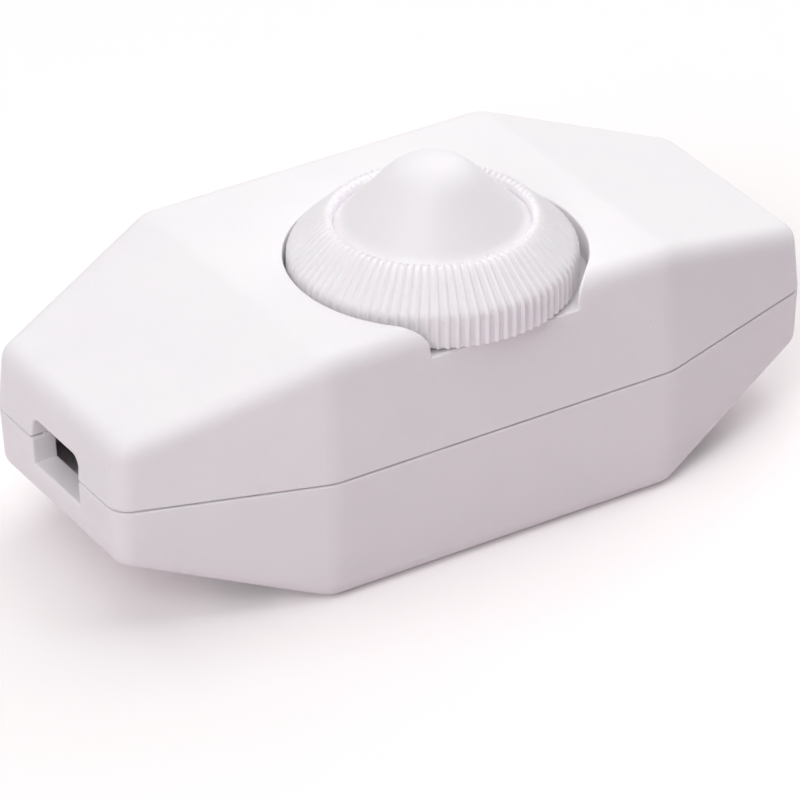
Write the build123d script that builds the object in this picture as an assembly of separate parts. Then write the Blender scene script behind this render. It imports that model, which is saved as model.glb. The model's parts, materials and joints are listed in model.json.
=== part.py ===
"""Inline rotary dimmer for a lamp cord, in millimetres.

A long eight-sided housing in two moulded shells holds a fluted dial that stands in a round well
and reaches out through the side wall, where a thumb rolls it. The cord enters at both ends.
Z = 0 is the flat underside, X runs along the cord, and the dial's exposed side faces -Y.
"""
from build123d import *
from math import cos, pi, radians, sin, sqrt, tan
import os

# Housing outline, at the parting line
LENGTH = 84.5
WIDTH = 40.0
MID_LENGTH = 41.2
END_WIDTH = 25.8
UPPER_HEIGHT = 14.1
UPPER_END_HEIGHT = 7.0
LOWER_HEIGHT = 14.5
LOWER_END_HEIGHT = 6.6
UPPER_DRAFT = 3.8
LOWER_DRAFT = 2.3
UPPER_EDGE_RADIUS = 2.4
LOWER_EDGE_RADIUS = 1.95
END_CORNER_RADIUS = 2.6
BEND_RADIUS = 6.0
CREASE_RADIUS = 5.0

# Housing walls and the joint between the shells
WALL = 2.0
END_WALL = 2.8
SEAM_GAP = 0.2
SEAM_DEPTH = 0.8
SEAM_ROUND = 0.2
TONGUE_WIDTH = 0.7
TONGUE_HEIGHT = 1.2
TONGUE_CLEARANCE = 0.1

# Cord inlets, one in each end wall, half in each shell
INLET_WIDTH = 9.8
INLET_ABOVE = 2.4
INLET_BELOW = 3.2
INLET_CORNER = 1.3
INLET_ROUND = 0.35

# Dial and its well
DIAL_Y = -5.8
DIAL_RADIUS = 15.25
DIAL_WALL_HEIGHT = 3.35
SKIRT_ANGLE = 43.5
RING_OUTER_RADIUS = 11.2
RING_INNER_RADIUS = 10.4
RING_HEIGHT = 1.3
RING_CHAMFER = 0.2
CONE_ANGLE = 47.0
DOME_RADIUS = 6.8
DIAL_RIM_ROUND = 1.6
DIAL_SHELL = 1.5
DIAL_HUB_RADIUS = 5.0
RIB_COUNT = 90
RIB_HEIGHT = 0.4
FLUTE_SHARE = 0.64
WELL_DEPTH = 3.4
WELL_CLEARANCE = 0.65
WELL_OFFSET = 0.35
WELL_ROUND = 0.2
WELL_WALL = 1.6
WELL_FLOOR = 1.2
DIAL_LIFT = 0.7

# Control: bushing, shaft, case, rotor
SHAFT_RADIUS = 3.0
SHAFT_NECK_RADIUS = 2.0
SHAFT_TIP_RADIUS = 1.5
SHAFT_FLAT = 2.2
SHAFT_SOCKET_DEPTH = 6.6
RUNNING_CLEARANCE = 0.05
FIT_CLEARANCE = 0.02
BUSHING_RADIUS = 3.5
NUT_ACROSS_FLATS = 10.0
NUT_HEIGHT = 2.0
NUT_FACE_GAP = 0.4
PLATE_THICKNESS = 0.8
CASE_RADIUS = 8.5
CASE_WALL = 1.2
CASE_HEIGHT = 6.8
CASE_FLOOR = 2.0
TRACK_THICKNESS = 1.0
TRACK_BORE_RADIUS = 2.6
ROTOR_RADIUS = 6.5
ROTOR_THICKNESS = 1.6
ROTOR_HUB_RADIUS = 4.0
ROTOR_TAB_HALF_ANGLE = 5.0
STOP_HALF_ANGLE = 20.0
DIAL_TURN = 300.0
WIPER_THICKNESS = 0.3
WIPER_GAP = 0.05
WIPER_RIM = 1.0
FINGER_RIM = 1.5
FINGER_HALF_ANGLE = 8.0
INNER_GAP = 0.2
LUG_SPAN = 8.0
LUG_WIDTH = 1.2
LUG_THICKNESS = 0.4
LUG_PAD = 0.5

# Snap switch under the control
SWITCH_SIZE = 16.0
SWITCH_WALL = 1.0
SWITCH_FLOOR = 1.5
SWITCH_CORNER = 1.0
CAM_RADIUS = 1.9
CAM_REACH = 2.6
CAM_HEIGHT = 2.6
CAM_NOSE_HALF_ANGLE = 25.0
LEVER_OFFSET = 5.0
LEVER_LENGTH = 9.0
LEVER_WIDTH = 1.4
LEVER_HEIGHT = 2.5
LEVER_PIN_RADIUS = 0.8
LEVER_TURN = 14.0
CONTACT_RADIUS = 0.4
CONTACT_HEIGHT = 0.4

# Circuit board and what stands on it
BOARD_THICKNESS = 1.6
BOARD_LENGTH = 47.0
BOARD_WIDTH = 31.6
BOARD_TONGUE_LENGTH = 61.0
BOARD_TONGUE_WIDTH = 18.0
POST_X = 20.5
POST_Y = 13.2
POST_RADIUS = 2.4
BOARD_SCREW_RADIUS = 1.2
BOARD_SCREW_HEAD_RADIUS = 2.2
BOARD_SCREW_HEAD_HEIGHT = 1.4
BOARD_SCREW_LENGTH = 6.0
SINK_X = 16.5
SINK_Y = -6.5
SINK_WIDTH = 12.6
SINK_LENGTH = 17.4
SINK_THICKNESS = 1.5
SINK_FIN_HEIGHT = 8.0
TRIAC_WIDTH = 10.0
TRIAC_BODY_LENGTH = 9.0
TRIAC_TAB_LENGTH = 6.4
TRIAC_HEIGHT = 4.5
TRIAC_TAB_THICKNESS = 1.3
TRIAC_PITCH = 2.54
TRIAC_LEAD_REACH = 3.0
RIVET_RADIUS = 1.5
RIVET_HEAD_RADIUS = 2.6
RIVET_HEAD_HEIGHT = 0.8
CHOKE_X = -15.8
CHOKE_Y = -7.4
CHOKE_FLANGE_RADIUS = 6.2
CHOKE_CORE_RADIUS = 3.0
CHOKE_WINDING_RADIUS = 5.4
CHOKE_FLANGE = 1.4
CHOKE_HEIGHT = 11.0
FILM_CAP_SIZE = (13.5, 6.5, 10.5)
FILM_CAP_PLACE = (-13.2, 6.2)
TIMING_CAP_SIZE = (6.5, 3.2, 6.5)
TIMING_CAP_PLACE = (-1.6, 7.0)
LEAD_RADIUS = 0.3
RESISTOR_RADIUS = 1.15
RESISTOR_LENGTH = 6.0
RESISTOR_PLACES = [(-10.0, 14.2), (-10.0, 11.2)]
AXIAL_LEAD_REACH = 1.5
CAP_EDGE = 0.5
DIAC_RADIUS = 0.95
DIAC_LENGTH = 4.0
DIAC_PLACE = (5.6, 6.6)
FUSE_RADIUS = 2.5
FUSE_LENGTH = 18.0
FUSE_CAP_LENGTH = 5.0
FUSE_CAP_THICKNESS = 0.25
FUSE_BORE_RADIUS = 1.7
FUSE_WIRE_RADIUS = 0.15
FUSE_X = 7.0
FUSE_Y = 12.4
FUSE_LIFT = 1.0
CLIP_WIDTH = 3.0
CLIP_THICKNESS = 0.5

# Terminals and cord clamps, a set at each end
TERMINAL_X = 26.7
TERMINAL_SIZE = (7.0, 11.0, 9.0)
TERMINAL_PITCH = 5.2
TERMINAL_ENTRY_RADIUS = 1.5
TERMINAL_SCREW_RADIUS = 1.5
TERMINAL_SCREW_HEIGHT = 2.6
CLAMP_X = 33.5
CLAMP_SIZE = (4.4, 16.6, 2.4)
CLAMP_SCREW_Y = 6.5
CLAMP_POST_RADIUS = 1.55
CLAMP_SCREW_RADIUS = 0.9
CLAMP_HEAD_RADIUS = 1.7
CLAMP_HEAD_HEIGHT = 1.2
CLAMP_SCREW_LENGTH = 8.0
CLAMP_LIFT = 0.3
SADDLE_RIB = 1.2

# Housing screws, driven from below
SCREW_X = 27.5
SCREW_Y = 13.0
SCREW_RADIUS = 1.45
SCREW_HEAD_RADIUS = 2.6
SCREW_HEAD_HEIGHT = 1.8
SCREW_LENGTH = 15.0
SCREW_SEAT = 3.0
SCREW_CLEARANCE = 0.2
BOSS_RADIUS = 3.2
SLOT_WIDTH = 0.8
SLOT_DEPTH = 0.7

# Heights, from the underside up, the dial's axis and the well
PARTING_Z = LOWER_HEIGHT
TOP_Z = PARTING_Z + UPPER_HEIGHT
WELL_FLOOR_Z = TOP_Z - WELL_DEPTH
WELL_CEILING_Z = WELL_FLOOR_Z - WELL_FLOOR
DIAL_Z = WELL_FLOOR_Z + DIAL_LIFT
PLATE_Z = WELL_CEILING_Z - PLATE_THICKNESS
CASE_Z = PLATE_Z - CASE_HEIGHT
NUT_TOP_Z = WELL_FLOOR_Z + NUT_HEIGHT
BUSHING_TOP_Z = NUT_TOP_Z + NUT_FACE_GAP
SWITCH_HEIGHT = 6.5
BOARD_TOP_Z = CASE_Z - SWITCH_HEIGHT
BOARD_Z = BOARD_TOP_Z - BOARD_THICKNESS
DIAL_AXIS = Location((0, DIAL_Y, 0))
WELL_RADIUS = DIAL_RADIUS + WELL_CLEARANCE
SWITCH_FLOOR_Z = BOARD_TOP_Z + SWITCH_FLOOR
LEVER_Z = SWITCH_FLOOR_Z + INNER_GAP
CAM_Z = LEVER_Z + INNER_GAP
INLET_FLOOR_Z = PARTING_Z - INLET_BELOW
INLET_ROOF_Z = PARTING_Z + INLET_ABOVE


def inset(long, mid, size_mid, size_end, wall, end_wall):
    """The same bent outline, moved inwards by a wall and, at its end, by the end wall."""
    slope = (size_mid - size_end) / (long - mid)
    run = sqrt(1 + slope * slope)
    inner_long = long - end_wall
    inner_mid = mid - wall * (run - 1) / slope
    inner_end = size_mid - (inner_long - mid) * slope - wall * run
    return inner_long, inner_mid, size_mid - wall, inner_end


def plan_face(long, mid, size_mid, size_end, bend_radius=0.0):
    """The eight-sided plan, from half sizes."""
    quarter = [(long, size_end), (mid, size_mid)]
    points = quarter + [(-x, y) for x, y in reversed(quarter)]
    points += [(-x, -y) for x, y in quarter] + [(x, -y) for x, y in reversed(quarter)]
    face = make_face(Polyline(*points, close=True))
    if bend_radius:
        bends = [v for v in face.vertices() if abs(v.X) < (long + mid) / 2]
        face = fillet(bends, bend_radius)
    return face


def elevation_block(long, mid, height_mid, height_end, crease_radius=0.0):
    """What lies under the roof line: flat in the middle, sloping down to both ends."""
    slope = (height_mid - height_end) / (long - mid)
    beyond = long + WIDTH
    low = height_mid - (beyond - mid) * slope
    points = [(-beyond, low), (-mid, height_mid), (mid, height_mid), (beyond, low)]
    points += [(beyond, low - WIDTH), (-beyond, low - WIDTH)]
    face = make_face(Polyline(*points, close=True))
    if crease_radius:
        creases = [v for v in face.vertices() if abs(abs(v.X) - mid) < 0.01]
        face = fillet(creases, crease_radius)
    return extrude(Plane.XZ * face, WIDTH, both=True)


def rim_edges(block):
    """Edges between the roof, flat or sloping, and the drafted walls."""
    roof = [face for face in block.faces() if face.normal_at().Z > 0.8]
    walls = [face for face in block.faces() if abs(face.normal_at().Z) < 0.3]
    wall_edges = [edge for face in walls for edge in face.edges()]
    roof_edges = [edge for face in roof for edge in face.edges()]
    return [edge for edge in roof_edges if any(edge.is_same(other) for other in wall_edges)]


def outer_half(height, end_height, draft, edge_radius, start):
    """One shell's outside with its roof up, from start above the parting plane."""
    plan = plan_face(LENGTH / 2, MID_LENGTH / 2, WIDTH / 2, END_WIDTH / 2, BEND_RADIUS)
    prism = extrude(plan, height, taper=draft)
    block = prism & elevation_block(LENGTH / 2, MID_LENGTH / 2, height, end_height, CREASE_RADIUS)
    upright = [edge for edge in block.edges() if is_end_corner(edge)]
    block = fillet(upright, END_CORNER_RADIUS)
    block = fillet(rim_edges(block), edge_radius)
    block -= slab(LENGTH * 2, WIDTH * 2, -WALL, start)
    return fillet(block.edges().group_by(Axis.Z)[0], SEAM_ROUND)


def is_end_corner(edge):
    """Tells the four upright corners beside the end walls."""
    rise = abs((edge @ 1).Z - (edge @ 0).Z)
    return rise > edge.length / 2 and abs((edge @ 0.5).X) > (LENGTH + MID_LENGTH) / 4


def inner_half(height, end_height, draft):
    """One shell's hollow, the walls less than its outside."""
    plan = inset(LENGTH / 2, MID_LENGTH / 2, WIDTH / 2, END_WIDTH / 2, WALL, END_WALL)
    side = inset(LENGTH / 2, MID_LENGTH / 2, height, end_height, WALL, END_WALL)
    prism = extrude(plan_face(*plan), side[2], taper=draft)
    return prism & elevation_block(*side)


def rim_band(extra, height):
    """A slab over the hollow's outline, grown by extra, for the tongue and the seam."""
    plan = inset(LENGTH / 2, MID_LENGTH / 2, WIDTH / 2, END_WIDTH / 2, WALL - extra, END_WALL - extra)
    return extrude(plan_face(*plan), height)


def lower(shape):
    """Turns a half that stands on the parting plane over, into the lower shell's place."""
    return Pos(0, 0, PARTING_Z) * mirror(shape, about=Plane.XY)


def upper(shape):
    return Pos(0, 0, PARTING_Z) * shape


def four(x, y):
    """The same place in all four corners."""
    return [(sx * x, sy * y) for sx in (-1, 1) for sy in (-1, 1)]


def clamp_places():
    """Where the clamp screws and their posts stand."""
    return four(CLAMP_X, CLAMP_SCREW_Y)


def column(x, y, radius, z_low, z_high):
    return Pos(x, y, z_low) * extrude(Circle(radius), z_high - z_low)


def slab(x_size, y_size, z_low, z_high, x=0.0, y=0.0):
    return Pos(x, y, (z_low + z_high) / 2) * Box(x_size, y_size, z_high - z_low)


def inlet_cutter(side):
    """The cord's way through an end wall, with rounded roof corners."""
    depth = END_WALL * 2
    face = Pos(0, (INLET_ABOVE - INLET_BELOW) / 2) * Rectangle(INLET_WIDTH, INLET_ABOVE + INLET_BELOW)
    roof = [v for v in face.vertices() if v.Y > 0]
    face = fillet(roof, INLET_CORNER)
    channel = extrude(Plane.YZ * face, depth * 2)
    return Pos(side * LENGTH / 2 - depth, 0, PARTING_Z) * channel


def cut_inlets(shell):
    """Cuts both inlets and eases their edges in the end faces."""
    for side in (-1, 1):
        shell -= inlet_cutter(side)
    return fillet([edge for edge in shell.edges() if is_mouth_edge(edge)], INLET_ROUND)


def is_mouth_edge(edge):
    """Tells an inlet's upright edges, roof or floor edge and corners, on the end face."""
    points = [edge @ t for t in (0, 0.5, 1)]
    in_face = min(abs(point.X) for point in points) > LENGTH / 2 - SEAM_ROUND
    in_slot = max(abs(point.Y) for point in points) < INLET_WIDTH / 2 + FIT_CLEARANCE
    return in_face and in_slot and edge.length > SEAM_ROUND * pi / 2


def screw_seat_z():
    """Where the housing screws' heads bear, above the sloping underside."""
    slope = (LOWER_HEIGHT - LOWER_END_HEIGHT) / (LENGTH / 2 - MID_LENGTH / 2)
    return (SCREW_X - MID_LENGTH / 2) * slope + SCREW_SEAT


def screw_tip_z():
    return screw_seat_z() + SCREW_LENGTH


def make_lower_housing():
    # A shadow line runs round the seam, outside a low step that carries the upper shell
    outside = outer_half(LOWER_HEIGHT, LOWER_END_HEIGHT, LOWER_DRAFT, LOWER_EDGE_RADIUS, SEAM_GAP)
    outside += rim_band(WALL - SEAM_DEPTH, SEAM_GAP)
    hollow = lower(inner_half(LOWER_HEIGHT, LOWER_END_HEIGHT, LOWER_DRAFT))
    for x, y in four(SCREW_X, SCREW_Y):
        hollow -= column(x, y, BOSS_RADIUS, 0, PARTING_Z)
    for x, y in four(POST_X, POST_Y):
        hollow -= column(x, y, POST_RADIUS, 0, BOARD_Z)
    for x, y in clamp_places():
        hollow -= column(x, y, CLAMP_POST_RADIUS, 0, PARTING_Z)
    for side in (-1, 1):
        for step in (-1, 1):
            rib_x = side * CLAMP_X + step * (CLAMP_SIZE[0] - SADDLE_RIB) / 2
            hollow -= slab(SADDLE_RIB, 2 * CLAMP_SCREW_Y, 0, INLET_FLOOR_Z, x=rib_x)
    shell = lower(outside) - hollow
    tongue = rim_band(TONGUE_WIDTH, TONGUE_HEIGHT) - rim_band(0, TONGUE_HEIGHT)
    shell += Pos(0, 0, PARTING_Z) * tongue
    post_top = INLET_ROOF_Z + CLAMP_LIFT
    for x, y in clamp_places():
        shell += column(x, y, CLAMP_POST_RADIUS, PARTING_Z, post_top)
    seat = screw_seat_z()
    for x, y in four(SCREW_X, SCREW_Y):
        shell -= column(x, y, SCREW_RADIUS + SCREW_CLEARANCE, 0, PARTING_Z + TONGUE_HEIGHT)
        shell -= column(x, y, SCREW_HEAD_RADIUS + SCREW_CLEARANCE, 0, seat)
    board_screw_tip = BOARD_TOP_Z - BOARD_SCREW_LENGTH
    for x in (-POST_X, POST_X):
        shell -= column(x, POST_Y, BOARD_SCREW_RADIUS + FIT_CLEARANCE, board_screw_tip, BOARD_Z)
    clamp_screw_tip = post_top + CLAMP_SIZE[2] - CLAMP_SCREW_LENGTH
    for x, y in clamp_places():
        shell -= column(x, y, CLAMP_SCREW_RADIUS + FIT_CLEARANCE, clamp_screw_tip, post_top)
    return cut_inlets(shell)


def round_well(shell):
    """Eases the edge where the well opens through the roof and the side wall."""
    ease = [edge for edge in shell.edges() if is_well_edge(edge)]
    return fillet(ease, WELL_ROUND)


def is_well_edge(edge):
    """Tells the well's open edge: on its rim, or along its floor where that meets the side wall."""
    middle = edge @ 0.5
    rise = middle.Z - WELL_FLOOR_Z
    reach = sqrt((middle.X - WELL_OFFSET) ** 2 + (middle.Y - DIAL_Y) ** 2)
    if abs(reach - WELL_RADIUS) < FIT_CLEARANCE:
        return rise > FIT_CLEARANCE
    return abs(rise) < FIT_CLEARANCE and reach < DIAL_RADIUS and middle.Y < DIAL_Y - DIAL_RADIUS / 2


def make_upper_housing():
    outside = upper(outer_half(UPPER_HEIGHT, UPPER_END_HEIGHT, UPPER_DRAFT, UPPER_EDGE_RADIUS, 0))
    hollow = upper(inner_half(UPPER_HEIGHT, UPPER_END_HEIGHT, UPPER_DRAFT))
    hollow -= column(WELL_OFFSET, DIAL_Y, WELL_RADIUS + WELL_WALL, WELL_CEILING_Z, TOP_Z)
    for x, y in four(SCREW_X, SCREW_Y):
        hollow -= column(x, y, BOSS_RADIUS, PARTING_Z, TOP_Z)
    shell = cut_inlets(outside - hollow)
    for x, y in four(SCREW_X, SCREW_Y):
        shell -= column(x, y, SCREW_RADIUS + FIT_CLEARANCE, PARTING_Z, screw_tip_z() + INNER_GAP)
    shell -= column(WELL_OFFSET, DIAL_Y, WELL_RADIUS, WELL_FLOOR_Z, TOP_Z + WELL_DEPTH)
    shell = round_well(shell)
    shell -= column(0, DIAL_Y, BUSHING_RADIUS + FIT_CLEARANCE, WELL_CEILING_Z, WELL_FLOOR_Z)
    rebate = rim_band(TONGUE_WIDTH + TONGUE_CLEARANCE, TONGUE_HEIGHT + TONGUE_CLEARANCE)
    rebate -= rim_band(-TONGUE_CLEARANCE, TONGUE_HEIGHT + TONGUE_CLEARANCE)
    return shell - upper(rebate)


def make_housing_screws():
    seat = screw_seat_z()
    head = Pos(0, 0, seat - SCREW_HEAD_HEIGHT) * extrude(Circle(SCREW_HEAD_RADIUS), SCREW_HEAD_HEIGHT)
    head = chamfer(head.edges().group_by(Axis.Z)[0], SCREW_HEAD_HEIGHT / 2)
    screw = head + column(0, 0, SCREW_RADIUS, seat, screw_tip_z())
    recess_top = seat - SCREW_HEAD_HEIGHT + SLOT_DEPTH
    for turn in (0, 90):
        bar = slab(SCREW_HEAD_RADIUS, SLOT_WIDTH, 0, recess_top)
        screw -= Rot(0, 0, turn) * bar
    return [Pos(x, y, 0) * screw for x, y in four(SCREW_X, SCREW_Y)]


def crest_z(radius):
    """Height of the rib crests on the dial's skirt, above the dial's lower edge."""
    return DIAL_WALL_HEIGHT + (DIAL_RADIUS - radius) * tan(radians(SKIRT_ANGLE))


def ring_z():
    """Height of the ribs where they run over the ring."""
    return crest_z(RING_OUTER_RADIUS)


def cone_z(radius):
    """Height of the smooth cone, which rises from a groove inside the ring."""
    return ring_z() - RING_HEIGHT + (RING_INNER_RADIUS - radius) * tan(radians(CONE_ANGLE))


def d_section(radius, flat):
    """A round section with one flat, as shafts and their sockets have."""
    return Circle(radius) & Pos(flat - radius, 0) * Rectangle(2 * radius, 2 * radius)


def dial_body():
    """The dial's turned shape at the crests of its ribs, still solid."""
    dome_start = DOME_RADIUS * sin(radians(CONE_ANGLE))
    dome_z = cone_z(dome_start) - DOME_RADIUS * cos(radians(CONE_ANGLE))
    halfway = radians(CONE_ANGLE / 2)
    on_dome = (DOME_RADIUS * sin(halfway), dome_z + DOME_RADIUS * cos(halfway))
    top = (0, dome_z + DOME_RADIUS)
    side = Polyline((0, 0), (DIAL_RADIUS, 0), (DIAL_RADIUS, DIAL_WALL_HEIGHT), (RING_OUTER_RADIUS, ring_z()),
                    (RING_INNER_RADIUS, ring_z()), (RING_INNER_RADIUS, cone_z(RING_INNER_RADIUS)),
                    (dome_start, cone_z(dome_start)))
    dome = ThreePointArc((dome_start, cone_z(dome_start)), on_dome, top)
    face = make_face([*side.edges(), dome, Line(top, (0, 0))])
    rim = face.vertices().sort_by_distance((DIAL_RADIUS, DIAL_WALL_HEIGHT))[0]
    face = fillet(rim, DIAL_RIM_ROUND)
    ring_corner = face.vertices().sort_by_distance((RING_OUTER_RADIUS, ring_z()))[0]
    return revolve(Plane.XZ * chamfer(ring_corner, RING_CHAMFER), Axis.Z)


def dial_flute():
    """One flute between two ribs: up the wall, over the rim, up the skirt and across the ring."""
    valley = DIAL_RADIUS - RIB_HEIGHT
    sink = RIB_HEIGHT / cos(radians(SKIRT_ANGLE))
    floor_z = ring_z() - RIB_HEIGHT
    ring_outer = RING_OUTER_RADIUS - (sink - RIB_HEIGHT) / tan(radians(SKIRT_ANGLE))
    groove = RING_INNER_RADIUS - RIB_HEIGHT
    beyond = DIAL_RADIUS + RIB_HEIGHT
    above = ring_z() + RIB_HEIGHT
    points = [(beyond, -RIB_HEIGHT), (valley, -RIB_HEIGHT), (valley, crest_z(valley) - sink),
              (ring_outer, floor_z), (groove, floor_z), (groove, above), (beyond, above)]
    face = make_face(Polyline(*points, close=True))
    rim = face.vertices().sort_by_distance((valley, crest_z(valley) - sink))[0]
    face = chamfer(rim, (DIAL_RIM_ROUND - RIB_HEIGHT) * tan(radians(90 - SKIRT_ANGLE) / 2))
    band = extrude(Plane.XZ * face, RIB_HEIGHT * 2, both=True)
    half_width = beyond * tan(radians(180 / RIB_COUNT) * FLUTE_SHARE)
    wedge = make_face(Polyline((0, 0), (beyond, -half_width), (beyond, half_width), close=True))
    return band & Pos(0, 0, -RIB_HEIGHT) * extrude(wedge, above + RIB_HEIGHT)


def dial_hollow():
    """The space under the dial's shell, round its hub."""
    fall = tan(radians(SKIRT_ANGLE))
    skirt_drop = (RIB_HEIGHT + DIAL_SHELL) / cos(radians(SKIRT_ANGLE))
    cone_drop = DIAL_SHELL / cos(radians(CONE_ANGLE))
    wall = DIAL_RADIUS - RIB_HEIGHT - DIAL_SHELL
    points = [(DIAL_HUB_RADIUS, -DIAL_SHELL), (wall, -DIAL_SHELL), (wall, crest_z(wall) - skirt_drop),
              (RING_OUTER_RADIUS, ring_z() - skirt_drop),
              (RING_INNER_RADIUS, cone_z(RING_INNER_RADIUS) - DIAL_SHELL),
              (DIAL_HUB_RADIUS, cone_z(DIAL_HUB_RADIUS) - cone_drop)]
    ring = revolve(Plane.XZ * make_face(Polyline(*points, close=True)), Axis.Z)
    return ring + column(0, 0, DIAL_HUB_RADIUS, -DIAL_SHELL, hub_z() - DIAL_Z)


def hub_z():
    return BUSHING_TOP_Z + DIAL_LIFT


def shaft_top_z():
    return hub_z() + SHAFT_SOCKET_DEPTH


def make_dial_knob():
    flute = dial_flute()
    flutes = [Rot(0, 0, 360 * i / RIB_COUNT) * flute for i in range(RIB_COUNT)]
    knob = dial_body() - dial_hollow() - flutes
    socket = extrude(d_section(SHAFT_RADIUS + FIT_CLEARANCE, SHAFT_FLAT + FIT_CLEARANCE),
                     shaft_top_z() + FIT_CLEARANCE - hub_z() + DIAL_SHELL)
    knob -= Pos(0, 0, hub_z() - DIAL_Z - DIAL_SHELL) * socket
    return Pos(0, DIAL_Y, DIAL_Z) * knob


def rotor_z():
    return track_z() + TRACK_THICKNESS + WIPER_GAP + 3 * WIPER_THICKNESS


def track_z():
    return CASE_Z + CASE_FLOOR


def make_control_shaft():
    top = extrude(d_section(SHAFT_RADIUS, SHAFT_FLAT), SHAFT_SOCKET_DEPTH + DIAL_LIFT)
    shaft = Pos(0, 0, BUSHING_TOP_Z) * top
    shaft += column(0, 0, SHAFT_RADIUS, PLATE_Z - INNER_GAP, BUSHING_TOP_Z)
    shaft += column(0, 0, SHAFT_NECK_RADIUS, track_z() - CASE_FLOOR / 2, PLATE_Z - INNER_GAP)
    shaft += column(0, 0, SHAFT_TIP_RADIUS, CAM_Z, track_z() - CASE_FLOOR / 2)
    return DIAL_AXIS * shaft


def make_bushing():
    """The control's metal cover plate with its bushing, under the well floor."""
    body = column(0, 0, CASE_RADIUS, PLATE_Z, WELL_CEILING_Z)
    body += column(0, 0, BUSHING_RADIUS, WELL_CEILING_Z, BUSHING_TOP_Z)
    body -= column(0, 0, SHAFT_RADIUS + RUNNING_CLEARANCE, PLATE_Z, BUSHING_TOP_Z)
    return DIAL_AXIS * body


def make_bushing_nut():
    nut = extrude(RegularPolygon(NUT_ACROSS_FLATS / 2, 6, major_radius=False), NUT_HEIGHT)
    nut = Pos(0, 0, WELL_FLOOR_Z) * nut
    return DIAL_AXIS * (nut - column(0, 0, BUSHING_RADIUS + FIT_CLEARANCE, WELL_FLOOR_Z, NUT_TOP_Z))


def sector(inner, outer, middle_angle, half_angle, z_low, z_high):
    """A piece of a ring about the dial's axis, before it is moved there."""
    span = half_angle * 2
    arc_outer = CenterArc((0, 0), outer, middle_angle - half_angle, span)
    arc_inner = CenterArc((0, 0), inner, middle_angle - half_angle, span)
    sides = [Line(arc_outer @ 0, arc_inner @ 0), Line(arc_outer @ 1, arc_inner @ 1)]
    face = make_face([arc_outer, arc_inner, *sides])
    return Pos(0, 0, z_low) * extrude(face, z_high - z_low, dir=(0, 0, 1))


def make_control_case():
    """The round case, with the block that stops the rotor and the pad behind its lugs."""
    inner = CASE_RADIUS - CASE_WALL
    case = column(0, 0, CASE_RADIUS, CASE_Z, PLATE_Z)
    case += slab(LUG_SPAN + 2 * LUG_WIDTH, CASE_RADIUS + LUG_PAD, CASE_Z, track_z(),
                 y=(CASE_RADIUS + LUG_PAD) / 2)
    case -= column(0, 0, inner, track_z(), PLATE_Z)
    case -= column(0, 0, SHAFT_NECK_RADIUS + INNER_GAP, track_z() - CASE_FLOOR / 2 - INNER_GAP, track_z())
    case -= column(0, 0, SHAFT_TIP_RADIUS + RUNNING_CLEARANCE, CASE_Z, track_z())
    stop_angle = (360 - DIAL_TURN) / 2
    case += sector(ROTOR_RADIUS + INNER_GAP, inner + CASE_WALL / 2, stop_angle, STOP_HALF_ANGLE,
                   track_z() + TRACK_THICKNESS, PLATE_Z)
    return DIAL_AXIS * case


def make_control_lugs():
    """Three flat lugs that carry the track's ends and its wiper down to the board."""
    y = CASE_RADIUS + LUG_PAD + LUG_THICKNESS / 2
    steps = (-LUG_SPAN / 2, 0, LUG_SPAN / 2)
    return [DIAL_AXIS * slab(LUG_WIDTH, LUG_THICKNESS, BOARD_TOP_Z, track_z(), x=x, y=y) for x in steps]


def make_resistive_track():
    radius = CASE_RADIUS - CASE_WALL - FIT_CLEARANCE
    disc = column(0, 0, radius, track_z(), track_z() + TRACK_THICKNESS)
    return DIAL_AXIS * (disc - column(0, 0, TRACK_BORE_RADIUS, track_z(), track_z() + TRACK_THICKNESS))


def make_wiper_rotor():
    low = rotor_z()
    rotor = column(0, 0, ROTOR_RADIUS, low, low + ROTOR_THICKNESS)
    rotor += column(0, 0, ROTOR_HUB_RADIUS, low + ROTOR_THICKNESS, PLATE_Z - INNER_GAP)
    reach = CASE_RADIUS - CASE_WALL - INNER_GAP
    rotor += sector(ROTOR_RADIUS - CASE_WALL, reach, 0, ROTOR_TAB_HALF_ANGLE, low, low + ROTOR_THICKNESS)
    rotor -= column(0, 0, SHAFT_NECK_RADIUS + FIT_CLEARANCE, low, PLATE_Z)
    return DIAL_AXIS * rotor


def make_wiper_contact():
    """A spring ring under the rotor with two fingers that run on the track."""
    top = rotor_z()
    finger_z = track_z() + TRACK_THICKNESS + WIPER_GAP
    ring = column(0, 0, ROTOR_RADIUS - WIPER_RIM, top - WIPER_THICKNESS, top)
    ring -= column(0, 0, ROTOR_HUB_RADIUS - WIPER_RIM, top - WIPER_THICKNESS, top)
    for angle in (90, 270):
        ring += sector(ROTOR_HUB_RADIUS, ROTOR_RADIUS - FINGER_RIM, angle, FINGER_HALF_ANGLE,
                       finger_z, top - WIPER_THICKNESS)
    return DIAL_AXIS * ring


def make_switch_case():
    """The square cup under the control, with the wall round the snap switch."""
    size = SWITCH_SIZE
    outline = RectangleRounded(size, size, SWITCH_CORNER)
    hollow = RectangleRounded(size - 2 * SWITCH_WALL, size - 2 * SWITCH_WALL, SWITCH_CORNER / 2)
    cup = Pos(0, 0, BOARD_TOP_Z) * extrude(outline, CASE_Z - BOARD_TOP_Z)
    cup -= Pos(0, 0, SWITCH_FLOOR_Z) * extrude(hollow, CASE_Z - SWITCH_FLOOR_Z)
    return DIAL_AXIS * cup


def make_switch_cam():
    """The cam at the shaft's lower end, with the nose that throws the lever."""
    cam = column(0, 0, CAM_RADIUS, CAM_Z, CAM_Z + CAM_HEIGHT)
    cam += sector(CAM_RADIUS / 2, CAM_REACH, 180, CAM_NOSE_HALF_ANGLE, CAM_Z, CAM_Z + CAM_HEIGHT)
    return DIAL_AXIS * (cam - column(0, 0, SHAFT_TIP_RADIUS + FIT_CLEARANCE, CAM_Z, CAM_Z + CAM_HEIGHT))


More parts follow.
